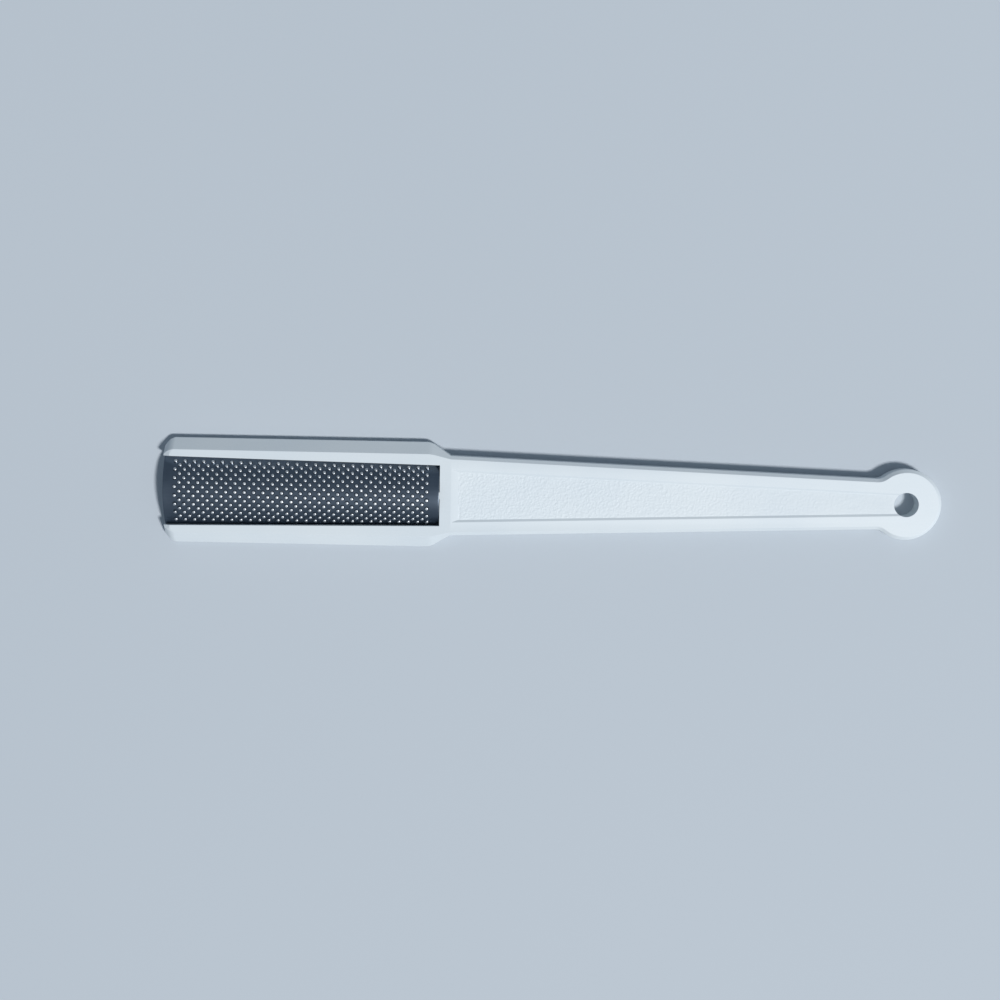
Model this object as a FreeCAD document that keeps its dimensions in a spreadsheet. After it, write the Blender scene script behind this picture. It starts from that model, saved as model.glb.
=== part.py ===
"""Foot file: a moulded plastic handle whose open-tipped head carries a bowed, toothed steel sheet.

Frame: X runs along the file from the open tip (-X) to the hanging ring (+X), Y runs across it,
Z points up out of the filing side. The flat back lies on Z = 0, under the middle of the length.
Millimetres throughout.
"""
import FreeCAD, Part
import math
import os
import Sketcher

Vector = FreeCAD.Vector

DRIVING_SIZES = {
    # whole file
    "overall_length": 180.0,
    "thickness": 4.5,
    # head
    "head_width": 24.4,
    "head_length": 61.9,
    "shoulder_length": 4.6,
    "flank_width": 2.6,
    "tip_bevel": 0.8,
    "tip_corner": 2.0,
    "tip_run": 1.5,
    "rail_width_tip": 4.15,
    "rail_width_neck": 5.15,
    "stop_wall": 2.5,
    "floor_thickness": 1.35,
    # grip
    "neck_width": 18.5,
    "tail_width": 11.3,
    "grip_bevel": 0.75,
    "back_bevel": 0.6,
    "panel_border": 3.1,
    "panel_depth": 0.3,
    "panel_wall": 0.5,
    "panel_start": 0.4,
    "panel_ramp": 1.4,
    # hanging ring
    "ring_diameter": 16.4,
    "ring_blend": 3.0,
    "hole_diameter": 5.6,
    # how the sheet sits in the head
    "lip_overlap": 0.2,
    "fit_clearance": 0.12,
    "rib_width": 1.6,
    "rib_inset": 2.75,
    "rib_gap": 0.25,
    # sheet and teeth
    "sheet_thickness": 0.5,
    "crown_tip": 3.1,
    "crown_neck": 4.2,
    "column_pitch": 2.16,
    "row_pitch": 1.02,
    "end_margin": 2.7,
    "edge_margin": 1.3,
    "tooth_base": 1.1,
    "tooth_top": 0.6,
    "tooth_height": 0.35,
    "tooth_root": 0.2,
}

ROOT_POINT = (-1, 1)
X_AXIS = -1
START = 1
END = 2
CENTRE = 3

# The step along the sheet, as a share of its size, that finds which way a tooth points.
NUDGE = 1e-4

# The cut for the sheet starts this far above the rails, so that it opens the head's whole top.
CUT_RISE = "sizes.thickness"

document = FreeCAD.newDocument("foot_file")
sheet = document.addObject("Spreadsheet::Sheet", "sizes")
for row, (alias, size) in enumerate(DRIVING_SIZES.items(), start=1):
    sheet.set(f"A{row}", alias)
    sheet.set(f"B{row}", str(size))
    sheet.setAlias(f"B{row}", alias)
document.recompute()


def value(expression):
    """The number that an expression on the sheet has now."""
    return float(sheet.evalExpression(expression))


# Places along the file, measured as X.
TIP_X = "(-sizes.overall_length / 2)"
SHOULDER_X = f"({TIP_X} + sizes.head_length)"
NECK_X = f"({SHOULDER_X} + sizes.shoulder_length)"
STOP_X = f"({NECK_X} - sizes.stop_wall)"
PLATE_END_X = f"({STOP_X} - sizes.fit_clearance)"
RING_X = "(sizes.overall_length / 2 - sizes.ring_diameter / 2)"


def arch_at(rail_width, crown):
    """Expressions for the bowed sheet's section where the rails are rail_width wide."""
    window = f"(sizes.head_width / 2 - {rail_width})"
    chord = f"({window} + sizes.lip_overlap)"
    radius = f"(({chord}^2 + {crown}^2) / (2 * {crown}))"
    cosine = f"(1 - {crown} / {radius})"
    sine = f"({chord} / {radius})"
    edge_z = f"(sizes.floor_thickness + sizes.fit_clearance + sizes.sheet_thickness * {cosine})"
    lip_z = f"({edge_z} + (sizes.lip_overlap * {sine} + sizes.fit_clearance) / {cosine})"
    return {
        "window": window,
        "chord": chord,
        "radius": radius,
        "inner_radius": f"({radius} - sizes.sheet_thickness)",
        "inner_chord": f"({chord} - sizes.sheet_thickness * {sine})",
        "centre_z": f"({edge_z} + {crown} - {radius})",
        "groove": f"({chord} + sizes.fit_clearance)",
        "lip_z": lip_z,
    }


ARCH_TIP = arch_at("sizes.rail_width_tip", "sizes.crown_tip")
ARCH_NECK = arch_at("sizes.rail_width_neck", "sizes.crown_neck")


def new_sketch(body, name, plane_role, offset):
    """An empty sketch of a body, parallel to one of its origin planes."""
    planes = [feature for feature in body.Origin.OriginFeatures if feature.Role == plane_role]
    sketch = body.newObject("Sketcher::SketchObject", name)
    sketch.AttachmentSupport = [(planes[0], "")]
    sketch.MapMode = "FlatFace"
    sketch.setExpression("AttachmentOffset.Base.z", offset)
    return sketch


def dimension(sketch, kind, targets, expression):
    """Adds a dimension to a sketch and ties it to the sheet."""
    index = sketch.addConstraint(Sketcher.Constraint(kind, *targets, value(expression)))
    sketch.setExpression(f"Constraints[{index}]", expression)


def pin_point(sketch, geometry, position, across, up):
    """Holds one point of a sketch at two expressions."""
    dimension(sketch, "DistanceX", (*ROOT_POINT, geometry, position), across)
    dimension(sketch, "DistanceY", (*ROOT_POINT, geometry, position), up)


def join_all(sketch, joins):
    """Ties the lines and arcs of a sketch together."""
    for join in joins:
        sketch.addConstraint(Sketcher.Constraint(*join))


def below(point):
    """The same point on the other side of the file's long axis."""
    return Vector(point.x, -point.y, 0)


def bearing(point, centre):
    """The angle at which a point is seen from a centre."""
    return math.atan2(point.y - centre.y, point.x - centre.x)


def circle_arc(centre, radius, begin, finish):
    """An arc about a centre, from one angle round to another."""
    return Part.ArcOfCircle(Part.Circle(centre, Vector(0, 0, 1), radius), begin, finish)


def mirrored_polygon(sketch, right_half):
    """Draws a closed polygon, given the corners of its right half from the lowest to the highest."""
    left_half = [(f"-{across}", up) for across, up in reversed(right_half)]
    corners = right_half + left_half
    places = [Vector(value(across), value(up), 0) for across, up in corners]
    count = len(corners)
    for index in range(count):
        sketch.addGeometry(Part.LineSegment(places[index], places[(index + 1) % count]), False)
    for index in range(count):
        sketch.addConstraint(Sketcher.Constraint("Coincident", index, END, (index + 1) % count, START))
    for index, (across, up) in enumerate(corners):
        pin_point(sketch, index, START, across, up)


def head_section(body, name, place_x, half_width, flank, inset="0"):
    """One cross-section of the head: flat back, bevelled back edge, upright side, 45 degree flank."""
    sketch = new_sketch(body, name, "YZ_Plane", place_x)
    top_z = f"(sizes.thickness - {inset})"
    mirrored_polygon(sketch, [
        (f"({half_width} - sizes.back_bevel)", inset),
        (half_width, f"({inset} + sizes.back_bevel)"),
        (half_width, f"({top_z} - {flank})"),
        (f"({half_width} - {flank})", top_z),
    ])
    return sketch


def grip_outline(body, name, height, inset):
    """The grip and its ring in plan, drawn in from the widest outline by inset."""
    sketch = new_sketch(body, name, "XY_Plane", height)
    neck_half = f"(sizes.neck_width / 2 - {inset})"
    tail_half = f"(sizes.tail_width / 2 - {inset})"
    ring_radius = f"(sizes.ring_diameter / 2 - {inset})"
    blend_radius = f"(sizes.ring_blend + {inset})"

    neck = Vector(value(NECK_X), value(neck_half), 0)
    tail = Vector(value(RING_X), value(tail_half), 0)
    ring = Vector(value(RING_X), 0, 0)
    along = (tail - neck).normalize()
    outward = Vector(-along.y, along.x, 0)
    ring_r = value(ring_radius)
    blend_r = value(blend_radius)
    off_side = blend_r + (tail - ring).dot(outward)
    reach = math.sqrt((ring_r + blend_r) ** 2 - off_side ** 2)
    blend = ring + outward * off_side - along * reach
    leave_side = blend - outward * blend_r
    meet_ring = ring + (blend - ring).normalize() * ring_r

    def arc(centre, radius, first, last):
        return circle_arc(centre, radius, bearing(first, centre), bearing(last, centre))

    end_line = sketch.addGeometry(Part.LineSegment(below(neck), neck), False)
    side = sketch.addGeometry(Part.LineSegment(neck, leave_side), False)
    blend_arc = sketch.addGeometry(arc(blend, blend_r, leave_side, meet_ring), False)
    ring_arc = sketch.addGeometry(arc(ring, ring_r, below(meet_ring), meet_ring), False)
    low_blend_arc = sketch.addGeometry(arc(below(blend), blend_r, below(meet_ring), below(leave_side)), False)
    low_side = sketch.addGeometry(Part.LineSegment(below(leave_side), below(neck)), False)
    guide = sketch.addGeometry(Part.Point(tail), True)
    low_guide = sketch.addGeometry(Part.Point(below(tail)), True)

    join_all(sketch, [
        ("Coincident", end_line, END, side, START),
        ("Tangent", side, END, blend_arc, START),
        ("Tangent", blend_arc, END, ring_arc, END),
        ("Tangent", ring_arc, START, low_blend_arc, START),
        ("Tangent", low_blend_arc, END, low_side, START),
        ("Coincident", low_side, END, end_line, START),
        ("PointOnObject", guide, START, side),
        ("PointOnObject", low_guide, START, low_side),
        ("PointOnObject", ring_arc, CENTRE, X_AXIS),
        ("Equal", blend_arc, low_blend_arc),
    ])
    pin_point(sketch, end_line, START, NECK_X, f"-{neck_half}")
    pin_point(sketch, end_line, END, NECK_X, neck_half)
    pin_point(sketch, guide, START, RING_X, tail_half)
    pin_point(sketch, low_guide, START, RING_X, f"-{tail_half}")
    dimension(sketch, "DistanceX", (*ROOT_POINT, ring_arc, CENTRE), RING_X)
    dimension(sketch, "Radius", (ring_arc,), ring_radius)
    dimension(sketch, "Radius", (blend_arc,), blend_radius)
    return sketch


def ruled_loft(body, kind, name, sections):
    """A loft with straight sides from each section to the next."""
    loft = body.newObject(kind, name)
    loft.Profile = sections[0]
    loft.Sections = sections[1:]
    loft.Ruled = True
    document.recompute()
    return loft


def add_head(body):
    """The head, from its drawn-in open tip to the neck."""
    side = "(sizes.head_width / 2)"
    flank = "sizes.flank_width"
    tip_side = f"({side} - sizes.tip_corner)"
    tip_flank = f"({flank} - sizes.tip_bevel)"
    front_x = f"({TIP_X} + sizes.tip_run)"
    neck_side = "(sizes.neck_width / 2)"
    sections = [
        head_section(body, "head_tip", TIP_X, tip_side, tip_flank, "sizes.tip_bevel"),
        head_section(body, "head_front", front_x, side, flank),
        head_section(body, "head_shoulder", SHOULDER_X, side, flank),
        head_section(body, "head_neck", NECK_X, neck_side, "sizes.grip_bevel"),
    ]
    ruled_loft(body, "PartDesign::AdditiveLoft", "head", sections)


def add_grip(body):
    """The tapering grip and the hanging ring, with bevelled edges on both faces."""
    sections = [
        grip_outline(body, "grip_back", "0", "sizes.back_bevel"),
        grip_outline(body, "grip_side_low", "sizes.back_bevel", "0"),
        grip_outline(body, "grip_side_high", "(sizes.thickness - sizes.grip_bevel)", "0"),
        grip_outline(body, "grip_top", "sizes.thickness", "sizes.grip_bevel"),
    ]
    ruled_loft(body, "PartDesign::AdditiveLoft", "grip", sections)


def ruled_cut(body, name, sections):
    """A cut with straight sides from each section to the next."""
    before = body.Shape.Volume
    ruled_loft(body, "PartDesign::SubtractiveLoft", name, sections)
    if not body.Shape.Volume < before:
        raise RuntimeError(f"{name} cut nothing")


def cut_hanging_hole(body):
    """The round hole through the ring."""
    sketch = new_sketch(body, "hole_circle", "XY_Plane", "sizes.thickness / 2")
    centre = Vector(value(RING_X), 0, 0)
    radius = value("sizes.hole_diameter / 2")
    circle = sketch.addGeometry(Part.Circle(centre, Vector(0, 0, 1), radius), False)
    sketch.addConstraint(Sketcher.Constraint("PointOnObject", circle, CENTRE, X_AXIS))
    dimension(sketch, "DistanceX", (*ROOT_POINT, circle, CENTRE), RING_X)
    dimension(sketch, "Radius", (circle,), "(sizes.hole_diameter / 2)")
    before = body.Shape.Volume
    hole = body.newObject("PartDesign::Pocket", "hanging_hole")
    hole.Profile = sketch
    hole.Type = "ThroughAll"
    hole.Midplane = True
    document.recompute()
    if not body.Shape.Volume < before:
        raise RuntimeError("the hanging hole cut nothing")


def panel_outline(body, name, height, start_x, border):
    """The sunk panel in plan: square at the neck, beside the grip's edges, round about the ring's centre."""
    sketch = new_sketch(body, name, "XY_Plane", height)
    slope = f"((sizes.neck_width - sizes.tail_width) / 2 / ({RING_X} - {NECK_X}))"

    def half_at(place_x):
        return f"(sizes.neck_width / 2 - {slope} * ({place_x} - {NECK_X}) - {border})"

    start_half = half_at(start_x)
    tail_half = half_at(RING_X)
    start = Vector(value(start_x), value(start_half), 0)
    tail = Vector(value(RING_X), value(tail_half), 0)
    centre = Vector(value(RING_X), 0, 0)
    along = (tail - start).normalize()
    outward = Vector(-along.y, along.x, 0)
    radius = (start - centre).dot(outward)
    leave_side = centre + outward * radius
    turn = bearing(leave_side, centre)

    end_line = sketch.addGeometry(Part.LineSegment(below(start), start), False)
    side = sketch.addGeometry(Part.LineSegment(start, leave_side), False)
    round_end = sketch.addGeometry(circle_arc(centre, radius, -turn, turn), False)
    low_side = sketch.addGeometry(Part.LineSegment(below(leave_side), below(start)), False)
    guide = sketch.addGeometry(Part.Point(tail), True)
    join_all(sketch, [
        ("Coincident", end_line, END, side, START),
        ("Tangent", side, END, round_end, END),
        ("Tangent", round_end, START, low_side, START),
        ("Coincident", low_side, END, end_line, START),
        ("PointOnObject", guide, START, side),
        ("PointOnObject", round_end, CENTRE, X_AXIS),
    ])
    pin_point(sketch, end_line, START, start_x, f"-{start_half}")
    pin_point(sketch, end_line, END, start_x, start_half)
    pin_point(sketch, guide, START, RING_X, tail_half)
    dimension(sketch, "DistanceX", (*ROOT_POINT, round_end, CENTRE), RING_X)
    return sketch


def cut_panel(body):
    """The shallow sunk panel on the grip, with sloping walls; it runs out into the hanging hole."""
    start_x = f"({NECK_X} + sizes.panel_start)"
    floor_x = f"({start_x} + sizes.panel_ramp)"
    floor_z = "(sizes.thickness - sizes.panel_depth)"
    floor_border = "(sizes.panel_border + sizes.panel_wall)"
    ruled_cut(body, "panel", [
        panel_outline(body, "panel_rim", "sizes.thickness", start_x, "sizes.panel_border"),
        panel_outline(body, "panel_floor", floor_z, floor_x, floor_border),
    ])


def channel_section(body, name, place_x, arch):
    """The space for the sheet: window between the rails, grooves under their lips, ribs on the floor."""
    sketch = new_sketch(body, name, "YZ_Plane", place_x)
    rib_half = "(sizes.rib_width / 2)"
    side_rib = f"({ARCH_NECK['window']} - sizes.rib_inset)"
    rib_inner = f"({side_rib} - {rib_half})"
    rib_outer = f"({side_rib} + {rib_half})"
    floor = "sizes.floor_thickness"

    def rib_top(across):
        return f"({arch['centre_z']} + sqrt(({arch['inner_radius']} - sizes.rib_gap)^2 - {across}^2))"

    mirrored_polygon(sketch, [
        (rib_half, rib_top(rib_half)),
        (rib_half, floor),
        (rib_inner, floor),
        (rib_inner, rib_top(rib_inner)),
        (rib_outer, rib_top(rib_outer)),
        (rib_outer, floor),
        (arch["groove"], floor),
        (arch["groove"], arch["lip_z"]),
        (arch["window"], arch["lip_z"]),
        (arch["window"], f"(sizes.thickness + {CUT_RISE})"),
    ])
    return sketch


def cut_channel(body):
    """The tapering channel, open at the tip and on top, that the sheet slides into."""
    ruled_cut(body, "channel", [
        channel_section(body, "channel_tip", TIP_X, ARCH_TIP),
        channel_section(body, "channel_stop", STOP_X, ARCH_NECK),
    ])


def make_handle():
    """The whole plastic moulding."""
    body = document.addObject("PartDesign::Body", "handle")
    add_head(body)
    add_grip(body)
    cut_hanging_hole(body)
    cut_panel(body)
    cut_channel(body)
    return body


def sheet_section(body, name, place_x, arch):
    """The bowed sheet's section: two arcs about one centre, closed by square edges."""
    sketch = new_sketch(body, name, "YZ_Plane", place_x)
    centre = Vector(0, value(arch["centre_z"]), 0)
    outer_r = value(arch["radius"])
    inner_r = value(arch["inner_radius"])
    spread = math.asin(value(arch["chord"]) / outer_r)
    upright = math.pi / 2
    outer_arc = circle_arc(centre, outer_r, upright - spread, upright + spread)
    inner_arc = circle_arc(centre, inner_r, upright - spread, upright + spread)
    outer = sketch.addGeometry(outer_arc, False)
    left = sketch.addGeometry(Part.LineSegment(outer_arc.EndPoint, inner_arc.EndPoint), False)
    inner = sketch.addGeometry(inner_arc, False)
    right = sketch.addGeometry(Part.LineSegment(inner_arc.StartPoint, outer_arc.StartPoint), False)
    join_all(sketch, [
        ("Coincident", outer, END, left, START),
        ("Coincident", left, END, inner, END),
        ("Coincident", inner, START, right, START),
        ("Coincident", right, END, outer, START),
        ("Coincident", outer, CENTRE, inner, CENTRE),
    ])
    pin_point(sketch, outer, CENTRE, "0", arch["centre_z"])
    dimension(sketch, "Radius", (outer,), arch["radius"])
    dimension(sketch, "Radius", (inner,), arch["inner_radius"])
    for geometry, half in ((outer, arch["chord"]), (inner, arch["inner_chord"])):
        dimension(sketch, "DistanceX", (*ROOT_POINT, geometry, START), half)
        dimension(sketch, "DistanceX", (*ROOT_POINT, geometry, END), f"-{half}")
    return sketch


def make_sheet_blank():
    """The plain bowed sheet, with no teeth yet."""
    body = document.addObject("PartDesign::Body", "sheet_blank")
    sections = [
        sheet_section(body, "sheet_tip", TIP_X, ARCH_TIP),
        sheet_section(body, "sheet_end", PLATE_END_X, ARCH_NECK),
    ]
    ruled_loft(body, "PartDesign::AdditiveLoft", "bowed_sheet", sections)
    return body


def tooth_places():
    """Each tooth's place along the sheet and across it, as shares of the length and of the half width."""
    length = value(f"{PLATE_END_X} - {TIP_X}")
    half_arc = value(ARCH_TIP["radius"]) * math.asin(value(ARCH_TIP["chord"]) / value(ARCH_TIP["radius"]))
    steps = math.floor((length - 2 * sheet.end_margin) / sheet.column_pitch)
    first = (length - steps * sheet.column_pitch) / 2
    outer_row = math.floor((half_arc - sheet.edge_margin) / sheet.row_pitch)
    for row in range(-outer_row, outer_row + 1):
        shifted = (row - outer_row) % 2
        for step in range(steps + 1 - shifted):
            along = first + (step + shifted / 2) * sheet.column_pitch
            yield along / length, row * sheet.row_pitch / half_arc


def sheet_point(along, across):
    """A point of the sheet's outer face, on the straight line between its two end arcs."""
    ends = []
    for place_x, arch in ((TIP_X, ARCH_TIP), (PLATE_END_X, ARCH_NECK)):
        radius = value(arch["radius"])
        turn = across * math.asin(value(arch["chord"]) / radius)
        rise = value(arch["centre_z"]) + radius * math.cos(turn)
        ends.append(Vector(value(place_x), radius * math.sin(turn), rise))
    return ends[0] + (ends[1] - ends[0]) * along


def make_tooth(along, across):
    """One tooth: a blunt cone standing square on the sheet, rooted in it."""
    foot = sheet_point(along, across)
    lengthwise = sheet_point(along + NUDGE, across) - foot
    crosswise = sheet_point(along, across + NUDGE) - foot
    upward = lengthwise.cross(crosswise).normalize()
    widening = (sheet.tooth_base - sheet.tooth_top) / 2 / sheet.tooth_height
    root_radius = sheet.tooth_base / 2 + widening * sheet.tooth_root
    tooth = Part.makeCone(root_radius, sheet.tooth_top / 2, sheet.tooth_root + sheet.tooth_height)
    turn = FreeCAD.Rotation(lengthwise, Vector(), upward, "ZXY")
    tooth.Placement = FreeCAD.Placement(foot - upward * sheet.tooth_root, turn)
    return tooth


def make_file_plate(blank):
    """The toothed sheet: the bowed blank with every tooth grown on to it."""
    teeth = [make_tooth(along, across) for along, across in tooth_places()]
    toothed = blank.Shape.fuse(Part.makeCompound(teeth))
    if len(toothed.Solids) != 1:
        raise RuntimeError("a tooth did not grow on to the sheet")
    plate = document.addObject("Part::Feature", "file_plate")
    plate.Shape = toothed.Solids[0]
    print(f"file_plate: {len(teeth)} teeth")
    return plate


def check_document():
    """Stops if anything in the document failed to build."""
    for item in document.Objects:
        if "Invalid" in item.State or "Error" in item.State:
            raise RuntimeError(f"{item.Label} failed: {item.State}")


def write_parts(parts):
    """Writes each sub-part to its own file, once all of them are sound."""
    for part in parts:
        shape = part.Shape
        if shape.isNull() or not shape.isValid() or len(shape.Solids) != 1:
            raise RuntimeError(f"{part.Label} is not one sound solid")
    os.makedirs("parts", exist_ok=True)
    for part in parts:
        part.Shape.exportStep(f"parts/{part.Label}.step")
        print(f"{part.Label}: {part.Shape.Volume:.1f} mm3, {len(part.Shape.Faces)} faces")


handle = make_handle()
file_plate = make_file_plate(make_sheet_blank())
document.recompute()
check_document()
write_parts([handle, file_plate])
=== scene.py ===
# %% [markdown]
# # A foot file
# A flat hand file for hard skin. One white plastic moulding makes the head, the grip and the hanging
# ring, and a thin sheet of toothed steel is bowed between the two rails of the head. The solid model
# of both pieces is loaded first: it fixes every size and place, in metres, with the flat back on
# Z = 0, the open tip at -X and the ring at +X. Everything below only dresses those two pieces.

# %% Load the fixed frame
import bmesh
import bpy
import math
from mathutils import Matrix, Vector


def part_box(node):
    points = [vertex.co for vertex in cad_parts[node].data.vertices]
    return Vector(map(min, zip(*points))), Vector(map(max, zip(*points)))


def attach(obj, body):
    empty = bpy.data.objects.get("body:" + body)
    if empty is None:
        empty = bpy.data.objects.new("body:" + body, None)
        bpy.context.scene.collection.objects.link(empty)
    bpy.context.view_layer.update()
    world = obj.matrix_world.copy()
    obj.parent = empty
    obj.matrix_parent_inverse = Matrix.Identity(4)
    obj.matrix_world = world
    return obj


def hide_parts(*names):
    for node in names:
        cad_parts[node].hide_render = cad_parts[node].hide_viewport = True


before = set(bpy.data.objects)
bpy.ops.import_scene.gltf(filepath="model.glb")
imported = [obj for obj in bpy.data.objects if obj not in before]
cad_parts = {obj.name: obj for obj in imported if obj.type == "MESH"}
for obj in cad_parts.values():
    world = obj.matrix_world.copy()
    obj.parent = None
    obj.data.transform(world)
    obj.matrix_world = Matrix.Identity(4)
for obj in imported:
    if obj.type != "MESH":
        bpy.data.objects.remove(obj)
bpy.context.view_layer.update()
MM = 0.001
handle_low, handle_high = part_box("handle")
sheet_low, sheet_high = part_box("file_plate")
print("handle box", [round(size / MM, 2) for size in handle_high - handle_low], "mm")
print("sheet box", [round(size / MM, 2) for size in sheet_high - sheet_low], "mm")

# %% [markdown]
# ## Node trees written as sums
# Materials and Geometry Nodes are both trees of nodes, and most of those nodes only do arithmetic.
# They could be added and linked one by one, which is long and hard to read. Here a small class wraps
# a socket, so that `1 - mask` or `height * 3` adds the Math nodes by itself, and one method adds any
# other node: its settings come first, then the values or links of its sockets.

# %% A socket that can be used in sums
class Wire:
    """An output socket of a node tree, used like a number."""

    def __init__(self, tree, socket=None):
        self.tree = tree
        self.socket = socket

    def node(self, kind, settings=None, inputs=None, output=0):
        """Adds a node to the same tree and gives one of its outputs."""
        added = self.tree.nodes.new(kind)
        for name, value in (settings or {}).items():
            setattr(added, name, value)
        for name, value in (inputs or {}).items():
            if isinstance(value, Wire):
                self.tree.links.new(value.socket, added.inputs[name])
            else:
                added.inputs[name].default_value = value
        return Wire(self.tree, added.outputs[output])

    def other(self, output):
        """Another output of the node that this one comes from."""
        return Wire(self.tree, self.socket.node.outputs[output])

    def into(self, socket):
        """Links this output to an input socket."""
        self.tree.links.new(self.socket, socket)

    def maths(self, operation, *values):
        """Adds a Math node on values or wires."""
        return self.node("ShaderNodeMath", {"operation": operation}, dict(enumerate(values)))

    def __add__(self, value):
        return self.maths("ADD", self, value)

    def __sub__(self, value):
        return self.maths("SUBTRACT", self, value)

    def __rsub__(self, value):
        return self.maths("SUBTRACT", value, self)

    def __mul__(self, value):
        return self.maths("MULTIPLY", self, value)

    def __truediv__(self, value):
        return self.maths("DIVIDE", self, value)

    def __rtruediv__(self, value):
        return self.maths("DIVIDE", value, self)

    def __mod__(self, value):
        return self.maths("FLOORED_MODULO", self, value)

    def __rmod__(self, value):
        return self.maths("FLOORED_MODULO", value, self)

    def __abs__(self):
        return self.maths("ABSOLUTE", self)

    __radd__ = __add__
    __rmul__ = __mul__

    def rise(self, low, high):
        """0 below low, 1 above high, and a smooth climb between them."""
        settings = {"interpolation_type": "SMOOTHSTEP"}
        return self.node("ShaderNodeMapRange", settings, {"Value": self, "From Min": low, "From Max": high})


MIX_FACTOR, MIX_FIRST, MIX_SECOND, MIX_RESULT = 0, 6, 7, 2


def mix_colours(factor, first, second):
    """The first colour where the factor is 0, the second where it is 1."""
    colours = {MIX_FACTOR: factor, MIX_FIRST: first, MIX_SECOND: second}
    return factor.node("ShaderNodeMix", {"data_type": "RGBA"}, colours, MIX_RESULT)


def new_material(name):
    """A material, its shader, and the place on the piece in metres, from which its sums start."""
    material = bpy.data.materials.new(name)
    material.use_nodes = True
    start = Wire(material.node_tree)
    place = start.node("ShaderNodeTexCoord", output="Object")
    return material, material.node_tree.nodes["Principled BSDF"], place


def grain(place, size, detail=2.0, stretch=(1, 1, 1)):
    """Noise from 0 to 1 whose patches are about as large as size, longer where stretch is over 1."""
    scale = Vector(1 / (size * longer) for longer in stretch)
    scaled = place.node("ShaderNodeVectorMath", {"operation": "MULTIPLY"}, {0: place, 1: scale})
    return place.node("ShaderNodeTexNoise", None, {"Vector": scaled, "Scale": 1.0, "Detail": detail})


print("sums are ready")

# %% [markdown]
# ## White moulded plastic
# The handle is moulded in one cool white, satin plastic. A single colour would look like chalk, so the
# white drifts a little over the length, carries a very fine speckle, and its gloss is broken by faint
# marks from handling. The sunk panel on the grip has the coarse, leather-like grain of its mould,
# which fades towards the ring, so a mask made from the place on the piece gives it more roughness
# and a bump of its own.

# %% Sizes of the grip's panel
HEAD_LENGTH = 61.9 * MM
SHOULDER_LENGTH = 4.6 * MM
RING_RADIUS = 8.2 * MM
NECK_HALF = 9.25 * MM
TAIL_HALF = 5.65 * MM
PANEL_BORDER = 3.1 * MM
PANEL_WALL = 0.5 * MM
PANEL_GAP = 0.4 * MM
PANEL_RAMP = 1.4 * MM
PANEL_DEPTH = 0.3 * MM

SHOULDER_X = handle_low.x + HEAD_LENGTH
NECK_X = SHOULDER_X + SHOULDER_LENGTH
RING_X = handle_high.x - RING_RADIUS
PANEL_START = NECK_X + PANEL_GAP
PANEL_FLOOR = handle_high.z - PANEL_DEPTH
PANEL_SLOPE = (NECK_HALF - TAIL_HALF) / (RING_X - NECK_X)
print("panel from", round(PANEL_START / MM, 1), "to", round(RING_X / MM, 1), "mm")

# %% [markdown]
# The material is one shader with four noises of different sizes and the panel's mask. A painted
# image could do the same, but noise needs no file, stays sharp close up and follows the piece.

# %% White plastic material
WHITE_COOL = (0.665, 0.725, 0.765, 1)
WHITE_CLEAR = (0.715, 0.765, 0.79, 1)
GRAIN_SIZE = 0.55 * MM
GRAIN_DEPTH = 0.15 * MM
GRAIN_EDGE = 0.3 * MM
GRAIN_FADE = 0.6
RING_FADE = 5 * MM
FLOOR_MARGIN = 0.2 * MM
PLASTIC_ROUGHNESS = 0.36


def white_plastic():
    """Cool white, satin plastic with a grained panel."""
    material, shader, place = new_material("white_plastic")
    split = place.node("ShaderNodeSeparateXYZ", None, {"Vector": place})
    along, across, upward = split, split.other("Y"), split.other("Z")

    panel_half = NECK_HALF - PANEL_BORDER - (along - NECK_X) * PANEL_SLOPE
    inside = (panel_half - abs(across)).rise(PANEL_WALL, PANEL_WALL + GRAIN_EDGE)
    floor_start = PANEL_START + PANEL_RAMP
    begun = along.rise(floor_start, floor_start + GRAIN_EDGE)
    ended = along.rise(RING_X - RING_FADE, RING_X)
    on_top = upward.rise(PANEL_FLOOR - FLOOR_MARGIN, PANEL_FLOOR)
    panel = inside * begun * (1 - ended) * on_top

    drift = grain(place, 22 * MM)
    speckle = grain(place, 0.35 * MM, 3.0)
    erosion = grain(place, GRAIN_SIZE)
    rubbing = grain(place, 0.3 * MM, 3.0, (22, 1, 1))

    tint = drift.rise(0.3, 0.7) * 0.7 + speckle.rise(0.3, 0.7) * 0.3
    mix_colours(tint, WHITE_COOL, WHITE_CLEAR).into(shader.inputs["Base Color"])
    roughness = PLASTIC_ROUGHNESS + rubbing.rise(0.45, 0.75) * 0.1 + panel * 0.16 + speckle * 0.05
    roughness.into(shader.inputs["Roughness"])

    fading = 1 - along.rise(NECK_X, RING_X) * GRAIN_FADE
    height = speckle * 0.05 + panel * fading * (erosion - 0.5)
    bump = place.node("ShaderNodeBump", None, {"Strength": 1.0, "Distance": GRAIN_DEPTH, "Height": height})
    bump.into(shader.inputs["Normal"])
    shader.inputs["IOR"].default_value = 1.5
    return material


plastic = white_plastic()
print(plastic.name, len(plastic.node_tree.nodes), "nodes")

# %% [markdown]
# ## The handle
# The solid's faces are already right, but its edges are razor sharp, and no moulded edge is: light has
# to catch a small round. The mesh of the solid could be remodelled by hand; a copy of it is quicker
# and true to size. Its loose triangles are merged and flat faces become single polygons.

# %% Handle mesh
SAME_POINT = 0.001 * MM


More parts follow.
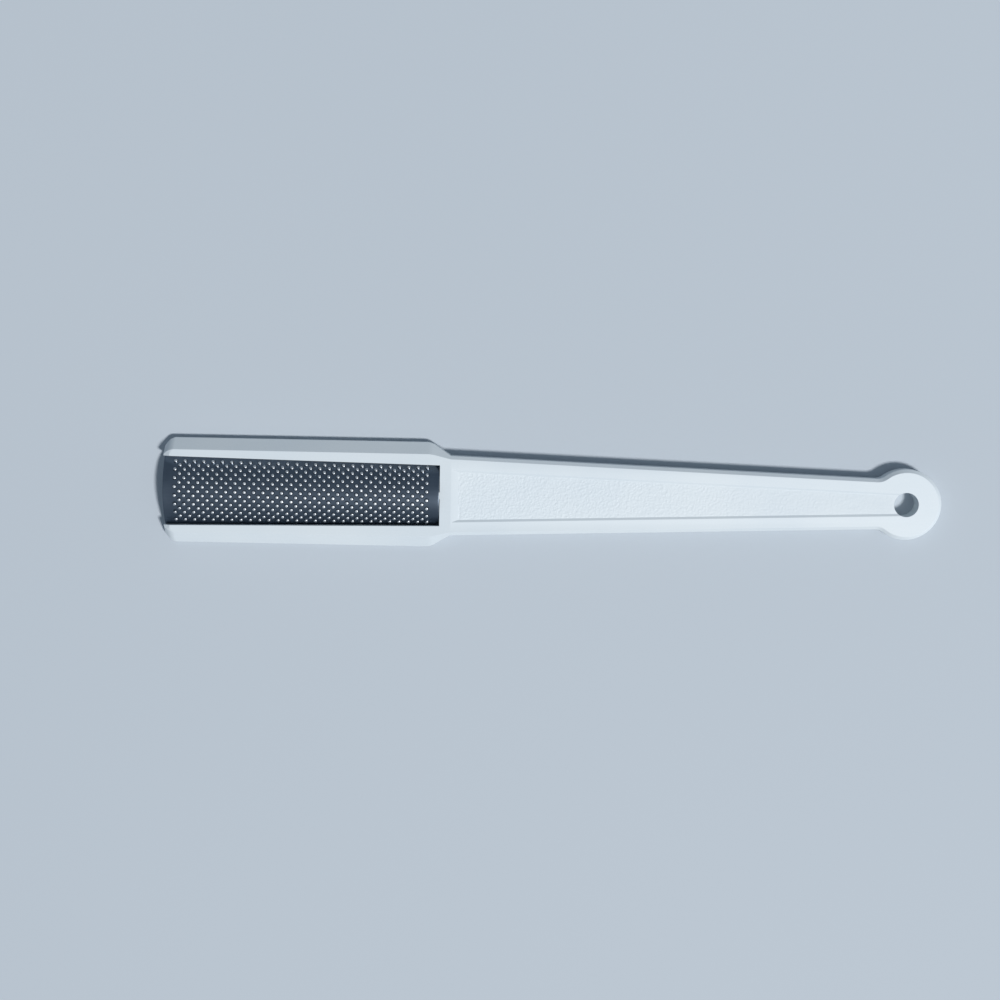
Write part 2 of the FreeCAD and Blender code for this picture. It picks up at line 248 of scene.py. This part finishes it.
def merged_copy(node):
    """An editable copy of a CAD node's faces, its triangles merged and its flat faces made whole."""
    shape = bmesh.new()
    shape.from_mesh(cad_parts[node].data)
    bmesh.ops.remove_doubles(shape, verts=shape.verts, dist=SAME_POINT)
    flat = math.radians(0.4)
    bmesh.ops.dissolve_limit(shape, angle_limit=flat, verts=shape.verts, edges=shape.edges)
    return shape


def plain_mesh(shape, name):
    """A mesh with the faces of an edited shape and nothing else, so no old shading is kept."""
    shape.verts.index_update()
    faces = [[vertex.index for vertex in face.verts] for face in shape.faces]
    mesh = bpy.data.meshes.new(name)
    mesh.from_pydata([vertex.co for vertex in shape.verts], [], faces)
    shape.free()
    return mesh


def link_piece(name, mesh):
    """A new object at the origin that shows a mesh."""
    piece = bpy.data.objects.new(name, mesh)
    bpy.context.scene.collection.objects.link(piece)
    return piece


handle_shape = merged_copy("handle")
print("handle", len(handle_shape.faces), "faces after merging")

# %% [markdown]
# Seen from above, the head does not turn sharply into the shoulder, and the tips of the rails are
# round. Those corners are edges that climb up the outside of the head at three places along it, so
# they are found by their place and rounded with a wide bevel, before the small round of all edges.

# %% Round corners of the head
HEAD_OUTSIDE = 8.3 * MM
LEAST_CLIMB = 0.1 * MM
TIP_RUN = 1.5 * MM
CORNER_STEPS = 6
PLAN_CORNERS = {
    "tip end": (handle_low.x, 0.9 * MM),
    "tip side": (handle_low.x + TIP_RUN, 1.1 * MM),
    "shoulder": (SHOULDER_X, 0.8 * MM),
}


def climbs_at(edge, place_x):
    """Whether an edge climbs up the outside of the head at a place along it."""
    low, high = sorted((vertex.co for vertex in edge.verts), key=lambda point: point.z)
    at_place = abs(low.x - place_x) < SAME_POINT and abs(high.x - place_x) < SAME_POINT
    outside = min(abs(low.y), abs(high.y)) > HEAD_OUTSIDE
    return at_place and outside and high.z - low.z > LEAST_CLIMB


for corner, (place_x, reach) in PLAN_CORNERS.items():
    climbing = [edge for edge in handle_shape.edges if climbs_at(edge, place_x)]
    bmesh.ops.bevel(
        handle_shape,
        geom=climbing,
        affect="EDGES",
        offset=reach,
        segments=CORNER_STEPS,
        profile=0.5,
        clamp_overlap=True,
    )
    print(corner, len(climbing), "edges rounded")

# %% [markdown]
# A mould leaves a small round on every edge. The Bevel modifier makes it wherever two faces meet at
# a clear angle, and its hardened normals keep the flat faces flat in the light.

# %% Small round of all edges
EDGE_ROUND = 0.18 * MM
white_handle = link_piece("white_handle", plain_mesh(handle_shape, "white_handle"))
white_handle.data.materials.append(plastic)
white_handle.data.shade_smooth()
rounding = white_handle.modifiers.new("rounded edges", "BEVEL")
rounding.width = EDGE_ROUND
rounding.segments = 3
rounding.limit_method = "ANGLE"
rounding.angle_limit = math.radians(20)
rounding.harden_normals = True
print("handle", len(white_handle.data.polygons), "faces before rounding")

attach(white_handle, "handle")
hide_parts("handle")

# %% [markdown]
# ## Toothed steel
# The sheet is thin spring steel with fine lines along its length. Its dark colour is a painted dark
# reflection of dim surroundings, mixed with the steel's own cloudy tone. Only the tops of the teeth are
# bright, because they are what rubs, and their flanks are painted dark as painted shade between the
# teeth. The teeth carry an attribute named rise, 0 at their feet and 1 on their tops, and the material
# mixes from dark to bright with it.

# %% Steel material
# painted dark reflection: the sheet's two dark colours stand for dim surroundings mirrored in the steel;
# the noise that mixes them is its own tone
STEEL_DARK = (0.13, 0.165, 0.21, 1)
STEEL_GREY = (0.20, 0.24, 0.295, 1)
# painted shade: the flanks of the teeth are painted dark, standing for shade in the gaps between teeth
STEEL_FLANK_SHADE = (0.06, 0.072, 0.09, 1)
STEEL_BRIGHT = (0.80, 0.82, 0.84, 1)
STEEL_ROUGHNESS = 0.28
BRUSHING_DEPTH = 0.02 * MM


def toothed_steel():
    """Steel painted dark as a painted reflection, painted shade on the tooth flanks, and bright tooth tops.
    """
    material, shader, place = new_material("toothed_steel")
    rise = place.node("ShaderNodeAttribute", {"attribute_name": "rise"}, output="Fac")
    brushing = grain(place, 0.08 * MM, 3.0, (60, 1, 1))
    clouds = grain(place, 3 * MM, 3.0)

    # painted shade covers the tooth flanks from just above their feet up to the bright tops
    flanks = rise.rise(0.05, 0.35)
    tops = rise.rise(0.55, 0.9)
    # painted dark reflection, mixed by the sheet's own brushed and cloudy tone
    sheet_colour = mix_colours(brushing * 0.5 + clouds * 0.5, STEEL_DARK, STEEL_GREY)
    flank_shaded_colour = mix_colours(flanks, sheet_colour, STEEL_FLANK_SHADE)
    mix_colours(tops, flank_shaded_colour, STEEL_BRIGHT).into(shader.inputs["Base Color"])
    roughness = STEEL_ROUGHNESS + clouds * 0.06 + brushing * 0.06 + tops * 0.11
    roughness.into(shader.inputs["Roughness"])
    lines = {"Strength": 0.25, "Distance": BRUSHING_DEPTH, "Height": brushing}
    bump = place.node("ShaderNodeBump", None, lines)
    bump.into(shader.inputs["Normal"])
    shader.inputs["Metallic"].default_value = 1.0
    return material


steel = toothed_steel()
print(steel.name, len(steel.node_tree.nodes), "nodes")

# %% [markdown]
# ## The bowed sheet
# The rails stand closer together at the neck than at the tip, so the same sheet bows higher there.
# Each end of the sheet is an arc, and straight lines join the two arcs. That is a rule, so Geometry
# Nodes makes it: a flat box of small faces is bent point by point. The same rule places the teeth.

# %% The rule of the bowed sheet
SHEET_THICKNESS = 0.5 * MM
TIP_CHORD = sheet_high.y
TIP_CROWN = 3.1 * MM
RAIL_NARROWING = 1.0 * MM
NECK_CHORD = TIP_CHORD - RAIL_NARROWING
NECK_CROWN = 4.2 * MM


def arc_sizes(end, chord, crown):
    """Radius, half angle and centre height of the arc at one end of the sheet."""
    radius = (chord ** 2 + crown ** 2) / (2 * crown)
    half_angle = 2 * math.atan(crown / chord)
    edge_height = sheet_low.z + SHEET_THICKNESS * math.cos(half_angle)
    return {
        f"{end} radius": radius,
        f"{end} half angle": half_angle,
        f"{end} centre height": edge_height + crown - radius,
    }


SHEET_SIZES = {
    "tip place": sheet_low.x,
    "neck place": sheet_high.x,
    "thickness": SHEET_THICKNESS,
    **arc_sizes("tip", TIP_CHORD, TIP_CROWN),
    **arc_sizes("neck", NECK_CHORD, NECK_CROWN),
}


def sheet_point(sizes, along, across, depth):
    """The point of the sheet at shares of its length (0 to 1), half width (-1 to 1) and thickness."""
    ends = []
    for end in ("tip", "neck"):
        turn = across * sizes[f"{end} half angle"]
        radius = sizes[f"{end} radius"] - depth * sizes["thickness"]
        sideways = radius * turn.maths("SINE", turn)
        upwards = radius * turn.maths("COSINE", turn) + sizes[f"{end} centre height"]
        ends.append((sizes[f"{end} place"], sideways, upwards))
    point = [tip + (neck - tip) * along for tip, neck in zip(*ends)]
    return along.node("ShaderNodeCombineXYZ", None, dict(enumerate(point)))


for size_name, size in SHEET_SIZES.items():
    print(size_name, round(size / MM, 3) if "angle" not in size_name else round(size, 3))

# %% [markdown]
# Both trees of the sheet start and end alike: named inputs for the sizes at one end, and copies made
# real with a material at the other. Three helpers take that up. The last of them sets each size on
# the modifier by its socket's identifier, because a modifier doesn't know its inputs by name.

# %% Geometry Nodes helpers
def new_tree(name, sizes):
    """An empty Geometry Nodes tree with a named input for each size, and the wires of its inputs."""
    tree = bpy.data.node_groups.new(name, "GeometryNodeTree")
    tree.interface.new_socket("Geometry", in_out="INPUT", socket_type="NodeSocketGeometry")
    for size_name, size in sizes.items():
        kind = "NodeSocketInt" if isinstance(size, int) else "NodeSocketFloat"
        tree.interface.new_socket(size_name, in_out="INPUT", socket_type=kind)
    tree.interface.new_socket("Geometry", in_out="OUTPUT", socket_type="NodeSocketGeometry")
    entry = Wire(tree).node("NodeGroupInput")
    return tree, {size_name: entry.other(size_name) for size_name in sizes}, entry


def end_tree(geometry, material):
    """Makes copies real, gives them their material and hands them out of the tree."""
    real = geometry.node("GeometryNodeRealizeInstances", None, {"Geometry": geometry})
    dressed = real.node("GeometryNodeSetMaterial", None, {"Geometry": real, "Material": material})
    leave = geometry.tree.nodes.new("NodeGroupOutput")
    dressed.into(leave.inputs["Geometry"])


def add_tree(piece, tree, sizes):
    """Adds a tree to a piece as a modifier and sets its sizes."""
    modifier = piece.modifiers.new(tree.name, "NODES")
    modifier.node_group = tree
    for item in tree.interface.items_tree:
        if item.in_out == "INPUT" and item.name in sizes:
            modifier[item.identifier] = sizes[item.name]


print("tree helpers are ready")

# %% [markdown]
# The cut edges will be rounded, and smooth shading would carry that round across the whole last row of
# faces. So the box is made a little too large and its outer points are pulled back to the edge, which
# leaves a very narrow last row there.

# %% The bowed sheet's tree
SHEET_STEPS = {"steps along": 33, "steps across": 49, "edge row": 0.15 * MM}
BLOCK_END = (0.5, 0.5, 0.5)
BLOCK_START = (-0.5, -0.5, -0.5)


def bowed_sheet_tree():
    """Bends a flat box of small faces to the rule of the sheet."""
    tree, sizes, entry = new_tree("bowed sheet", {**SHEET_SIZES, **SHEET_STEPS})

    def too_large(steps, length):
        """The share of its side that the box needs, so that its last row ends up narrow."""
        return (1 - sizes["edge row"] * 2 / length) * (steps - 1) / (steps - 3)

    length = sizes["neck place"] - sizes["tip place"]
    arc = sizes["tip radius"] * sizes["tip half angle"] * 2
    block_size = entry.node("ShaderNodeCombineXYZ", None, {
        0: too_large(sizes["steps along"], length),
        1: too_large(sizes["steps across"], arc),
        2: 1.0,
    })
    block = entry.node("GeometryNodeMeshCube", None, {
        "Size": block_size,
        "Vertices X": sizes["steps along"],
        "Vertices Y": sizes["steps across"],
        "Vertices Z": 2,
    })
    place = entry.node("GeometryNodeInputPosition")
    pulled = place.node("ShaderNodeVectorMath", {"operation": "MINIMUM"}, {0: place, 1: BLOCK_END})
    pulled = place.node("ShaderNodeVectorMath", {"operation": "MAXIMUM"}, {0: pulled, 1: BLOCK_START})
    split = place.node("ShaderNodeSeparateXYZ", None, {0: pulled})
    bent = sheet_point(sizes, split + 0.5, split.other(1) * 2, 0.5 - split.other(2))
    moved = block.node("GeometryNodeSetPosition", None, {"Geometry": block, "Position": bent})
    end_tree(moved, steel)
    return tree


sheet_tree = bowed_sheet_tree()
print(sheet_tree.name, len(sheet_tree.nodes), "nodes")

# %% [markdown]
# ## The teeth
# Fifteen rows of blunt, cone-like teeth stand square on the bowed sheet, each row shifted by half a
# step against the next. One tooth is modelled once and copied to points that the sheet's own rule
# places. Real teeth are never quite alike, so each leans by a degree or two, from a fixed seed.

# %% The teeth's tree
COLUMN_PITCH = 2.16 * MM
ROW_PITCH = 1.02 * MM
TOOTH_COLUMNS = 28
OUTER_ROW = 7
SHEET_LENGTH = sheet_high.x - sheet_low.x
TIP_HALF_ARC = SHEET_SIZES["tip radius"] * SHEET_SIZES["tip half angle"]
TOOTH_SIZES = {
    "columns": TOOTH_COLUMNS,
    "outer row": OUTER_ROW,
    "first column": (SHEET_LENGTH - (TOOTH_COLUMNS - 1) * COLUMN_PITCH) / 2 / SHEET_LENGTH,
    "column step": COLUMN_PITCH / SHEET_LENGTH,
    "row step": ROW_PITCH / TIP_HALF_ARC,
    "foot radius": 0.55 * MM,
    "top share": 0.55,
    "top rounding": 0.3,
    "tooth height": 0.36 * MM,
    "root depth": 0.03 * MM,
    "most lean": math.radians(2.5),
    "seed": 7,
}
TOOTH_SIDES = 12
TOOTH_RINGS = 6
NUDGE = 0.001


def one_tooth(sizes, entry):
    """A blunt cone with a rounded rim, rooted in the sheet, that knows how high each of its points is."""
    cone = entry.node("GeometryNodeMeshCone", {"fill_type": "NONE"}, {
        "Vertices": TOOTH_SIDES,
        "Side Segments": TOOTH_RINGS,
        "Radius Top": 0.0,
        "Radius Bottom": 1.0,
        "Depth": 1.0,
    })
    place = entry.node("GeometryNodeInputPosition")
    split = place.node("ShaderNodeSeparateXYZ", None, {0: place})
    climb = split.other(2) / (1 - sizes["top share"])
    rise = climb.maths("SMOOTH_MIN", climb, 1.0, sizes["top rounding"])
    foot = sizes["foot radius"]
    level = rise * sizes["tooth height"] - sizes["root depth"]
    blunt = entry.node("ShaderNodeCombineXYZ", None, {0: split * foot, 1: split.other(1) * foot, 2: level})
    named = {"Geometry": cone, "Name": "rise", "Value": rise}
    knowing = cone.node("GeometryNodeStoreNamedAttribute", {"data_type": "FLOAT", "domain": "POINT"}, named)
    return knowing.node("GeometryNodeSetPosition", None, {"Geometry": knowing, "Position": blunt})


def teeth_tree():
    """Stands a tooth on every point of the staggered rows and joins them to the sheet."""
    tree, sizes, entry = new_tree("teeth", {**SHEET_SIZES, **TOOTH_SIZES})
    columns = sizes["columns"]
    rows = sizes["outer row"] * 2 + 1
    index = entry.node("GeometryNodeInputIndex")
    column = index % columns
    row = (index - column) / columns
    shifted = row % 2
    along = sizes["first column"] + (column + shifted * 0.5) * sizes["column step"]
    across = (row - sizes["outer row"]) * sizes["row step"]

    foot = sheet_point(sizes, along, across, 0.0)
    lengthwise = sheet_point(sizes, along + NUDGE, across, 0.0)
    crosswise = sheet_point(sizes, along, across + NUDGE, 0.0)
    steps = [side.node("ShaderNodeVectorMath", {"operation": "SUBTRACT"}, {0: side, 1: foot})
             for side in (lengthwise, crosswise)]
    upward = foot.node("ShaderNodeVectorMath", {"operation": "CROSS_PRODUCT"}, dict(enumerate(steps)))

    points = index.node("GeometryNodePoints", None, {"Count": rows * columns, "Position": foot})
    spare = (column + shifted).maths("GREATER_THAN", column + shifted, columns - 0.5)
    unwanted = {"Geometry": points, "Selection": spare}
    kept = points.node("GeometryNodeDeleteGeometry", {"domain": "POINT"}, unwanted)

    turn = upward.node("FunctionNodeAlignRotationToVector", {"axis": "Z"}, {"Vector": upward})
    most = index.node("ShaderNodeCombineXYZ", None, {0: sizes["most lean"], 1: sizes["most lean"]})
    least = most.node("ShaderNodeVectorMath", {"operation": "SCALE"}, {0: most, "Scale": -1.0})
    limits = {0: least, 1: most, "Seed": sizes["seed"]}
    lean = index.node("FunctionNodeRandomValue", {"data_type": "FLOAT_VECTOR"}, limits)
    leaning = turn.node("FunctionNodeRotateRotation", {"rotation_space": "LOCAL"}, {0: turn, 1: lean})
    copies = kept.node("GeometryNodeInstanceOnPoints", None, {
        "Points": kept,
        "Instance": one_tooth(sizes, entry),
        "Rotation": leaning,
    })
    joined = copies.node("GeometryNodeJoinGeometry")
    copies.into(joined.socket.node.inputs[0])
    entry.into(joined.socket.node.inputs[0])
    end_tree(joined, steel)
    return tree


tooth_tree = teeth_tree()
print(tooth_tree.name, len(tooth_tree.nodes), "nodes")

# %% [markdown]
# ## The finished sheet
# The two trees run one after the other on an empty mesh, with a narrow Bevel between them for the
# sheet's cut edges, so that the teeth stay crisp. The result is then taken as a plain mesh, which
# needs no modifiers, and its faces are shaded smooth except where they meet at a clear angle.

# %% Sheet piece
CUT_EDGE_ROUND = 0.07 * MM
maker = link_piece("sheet_maker", bpy.data.meshes.new("sheet_maker"))
add_tree(maker, sheet_tree, {**SHEET_SIZES, **SHEET_STEPS})
cut_edges = maker.modifiers.new("cut edges", "BEVEL")
cut_edges.width = CUT_EDGE_ROUND
cut_edges.segments = 2
cut_edges.limit_method = "ANGLE"
cut_edges.angle_limit = math.radians(50)
add_tree(maker, tooth_tree, {**SHEET_SIZES, **TOOTH_SIZES})

depsgraph = bpy.context.evaluated_depsgraph_get()
sheet_mesh = bpy.data.meshes.new_from_object(maker.evaluated_get(depsgraph), depsgraph=depsgraph)
bpy.data.objects.remove(maker)
sheet_mesh.name = "toothed_sheet"
sheet_mesh.materials.clear()
sheet_mesh.materials.append(steel)
sheet_mesh.shade_smooth()
sheet_mesh.set_sharp_from_angle(angle=math.radians(48))
toothed_sheet = link_piece("toothed_sheet", sheet_mesh)
print("sheet", len(sheet_mesh.polygons), "faces", [material.name for material in sheet_mesh.materials])

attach(toothed_sheet, "file_plate")
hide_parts("file_plate")

# %% [markdown]
# ## Floor, light and camera
# The file lies on a plain pale floor. A curved backdrop would do as well, but a wide flat sheet looks
# the same from every side, and its horizon is far away.

# %% Floor
FLOOR_HALF = 8.0
FLOOR_COLOUR = (0.50, 0.55, 0.60, 1)
FLOOR_PATCH = (0.54, 0.585, 0.63, 1)


def make_floor():
    """A wide flat floor at the height of the file's back."""
    mesh = bpy.data.meshes.new("floor")
    corners = [(-1, -1), (1, -1), (1, 1), (-1, 1)]
    mesh.from_pydata([(x * FLOOR_HALF, y * FLOOR_HALF, 0) for x, y in corners], [], [(0, 1, 2, 3)])
    material, shader, place = new_material("pale_floor")
    mix_colours(grain(place, 0.4), FLOOR_COLOUR, FLOOR_PATCH).into(shader.inputs["Base Color"])
    shader.inputs["Roughness"].default_value = 0.9
    shader.inputs["Specular IOR Level"].default_value = 0.2
    mesh.materials.append(material)
    floor = link_piece("floor", mesh)


make_floor()
print("floor", FLOOR_HALF * 2, "m wide")

# %% [markdown]
# One soft key lamp stands to the right and in front, where the shadows on the real file say that its
# light was, and the world fills those shadows. The lamp is far away, so that the whole file gets the
# same light. Together they light a flat card on the floor to about the colour written for it.

# %% Light
KEY_SHARE = 0.76
WORLD_SHARE = 0.23
KEY_DIRECTION = Vector((0.458, -0.313, 0.832)).normalized()
KEY_DISTANCE = 6.0
KEY_WIDTH = 0.98
WORLD_COLOUR = (0.76, 0.94, 1.14, 1)


def make_key_lamp():
    """A round lamp that gives the floor its share of the light. Returns its power in watts."""
    lamp = bpy.data.lights.new("key", "AREA")
    lamp.shape = "DISK"
    lamp.size = KEY_WIDTH
    lamp.energy = KEY_SHARE * math.pi ** 2 * KEY_DISTANCE ** 2 / KEY_DIRECTION.z
    key = bpy.data.objects.new("key", lamp)
    key.location = KEY_DIRECTION * KEY_DISTANCE
    key.rotation_euler = KEY_DIRECTION.to_track_quat("Z", "Y").to_euler()
    bpy.context.scene.collection.objects.link(key)
    return lamp.energy


world = bpy.data.worlds.new("studio")
world.use_nodes = True
sky = world.node_tree.nodes["Background"]
sky.inputs["Color"].default_value = WORLD_COLOUR
sky.inputs["Strength"].default_value = WORLD_SHARE
bpy.context.scene.world = world
bpy.context.scene.view_settings.view_transform = "Standard"
print("key lamp", round(make_key_lamp(), 2), "W")

# %% [markdown]
# The camera looks almost straight down, a little from the far side. It could be turned by eye, but
# numbers are surer: its place, turn and lens were fitted so that the outline of the model lies where
# the photograph shows the outline of the real file.

# %% Camera
CAMERA_PLACE = Vector((-10.6, 38.0, 356.3)) * MM
CAMERA_TURN = [math.radians(angle) for angle in (-6.27, 0.35, 1.10)]
CAMERA_LENS = 55.16

camera_data = bpy.data.cameras.new("camera")
camera_data.lens = CAMERA_LENS
camera_data.sensor_width = 36
camera_data.clip_start = 0.01
camera = bpy.data.objects.new("camera", camera_data)
camera.location = CAMERA_PLACE
camera.rotation_euler = CAMERA_TURN
bpy.context.scene.collection.objects.link(camera)
bpy.context.scene.camera = camera
print("camera", [round(place / MM, 1) for place in CAMERA_PLACE], "mm")
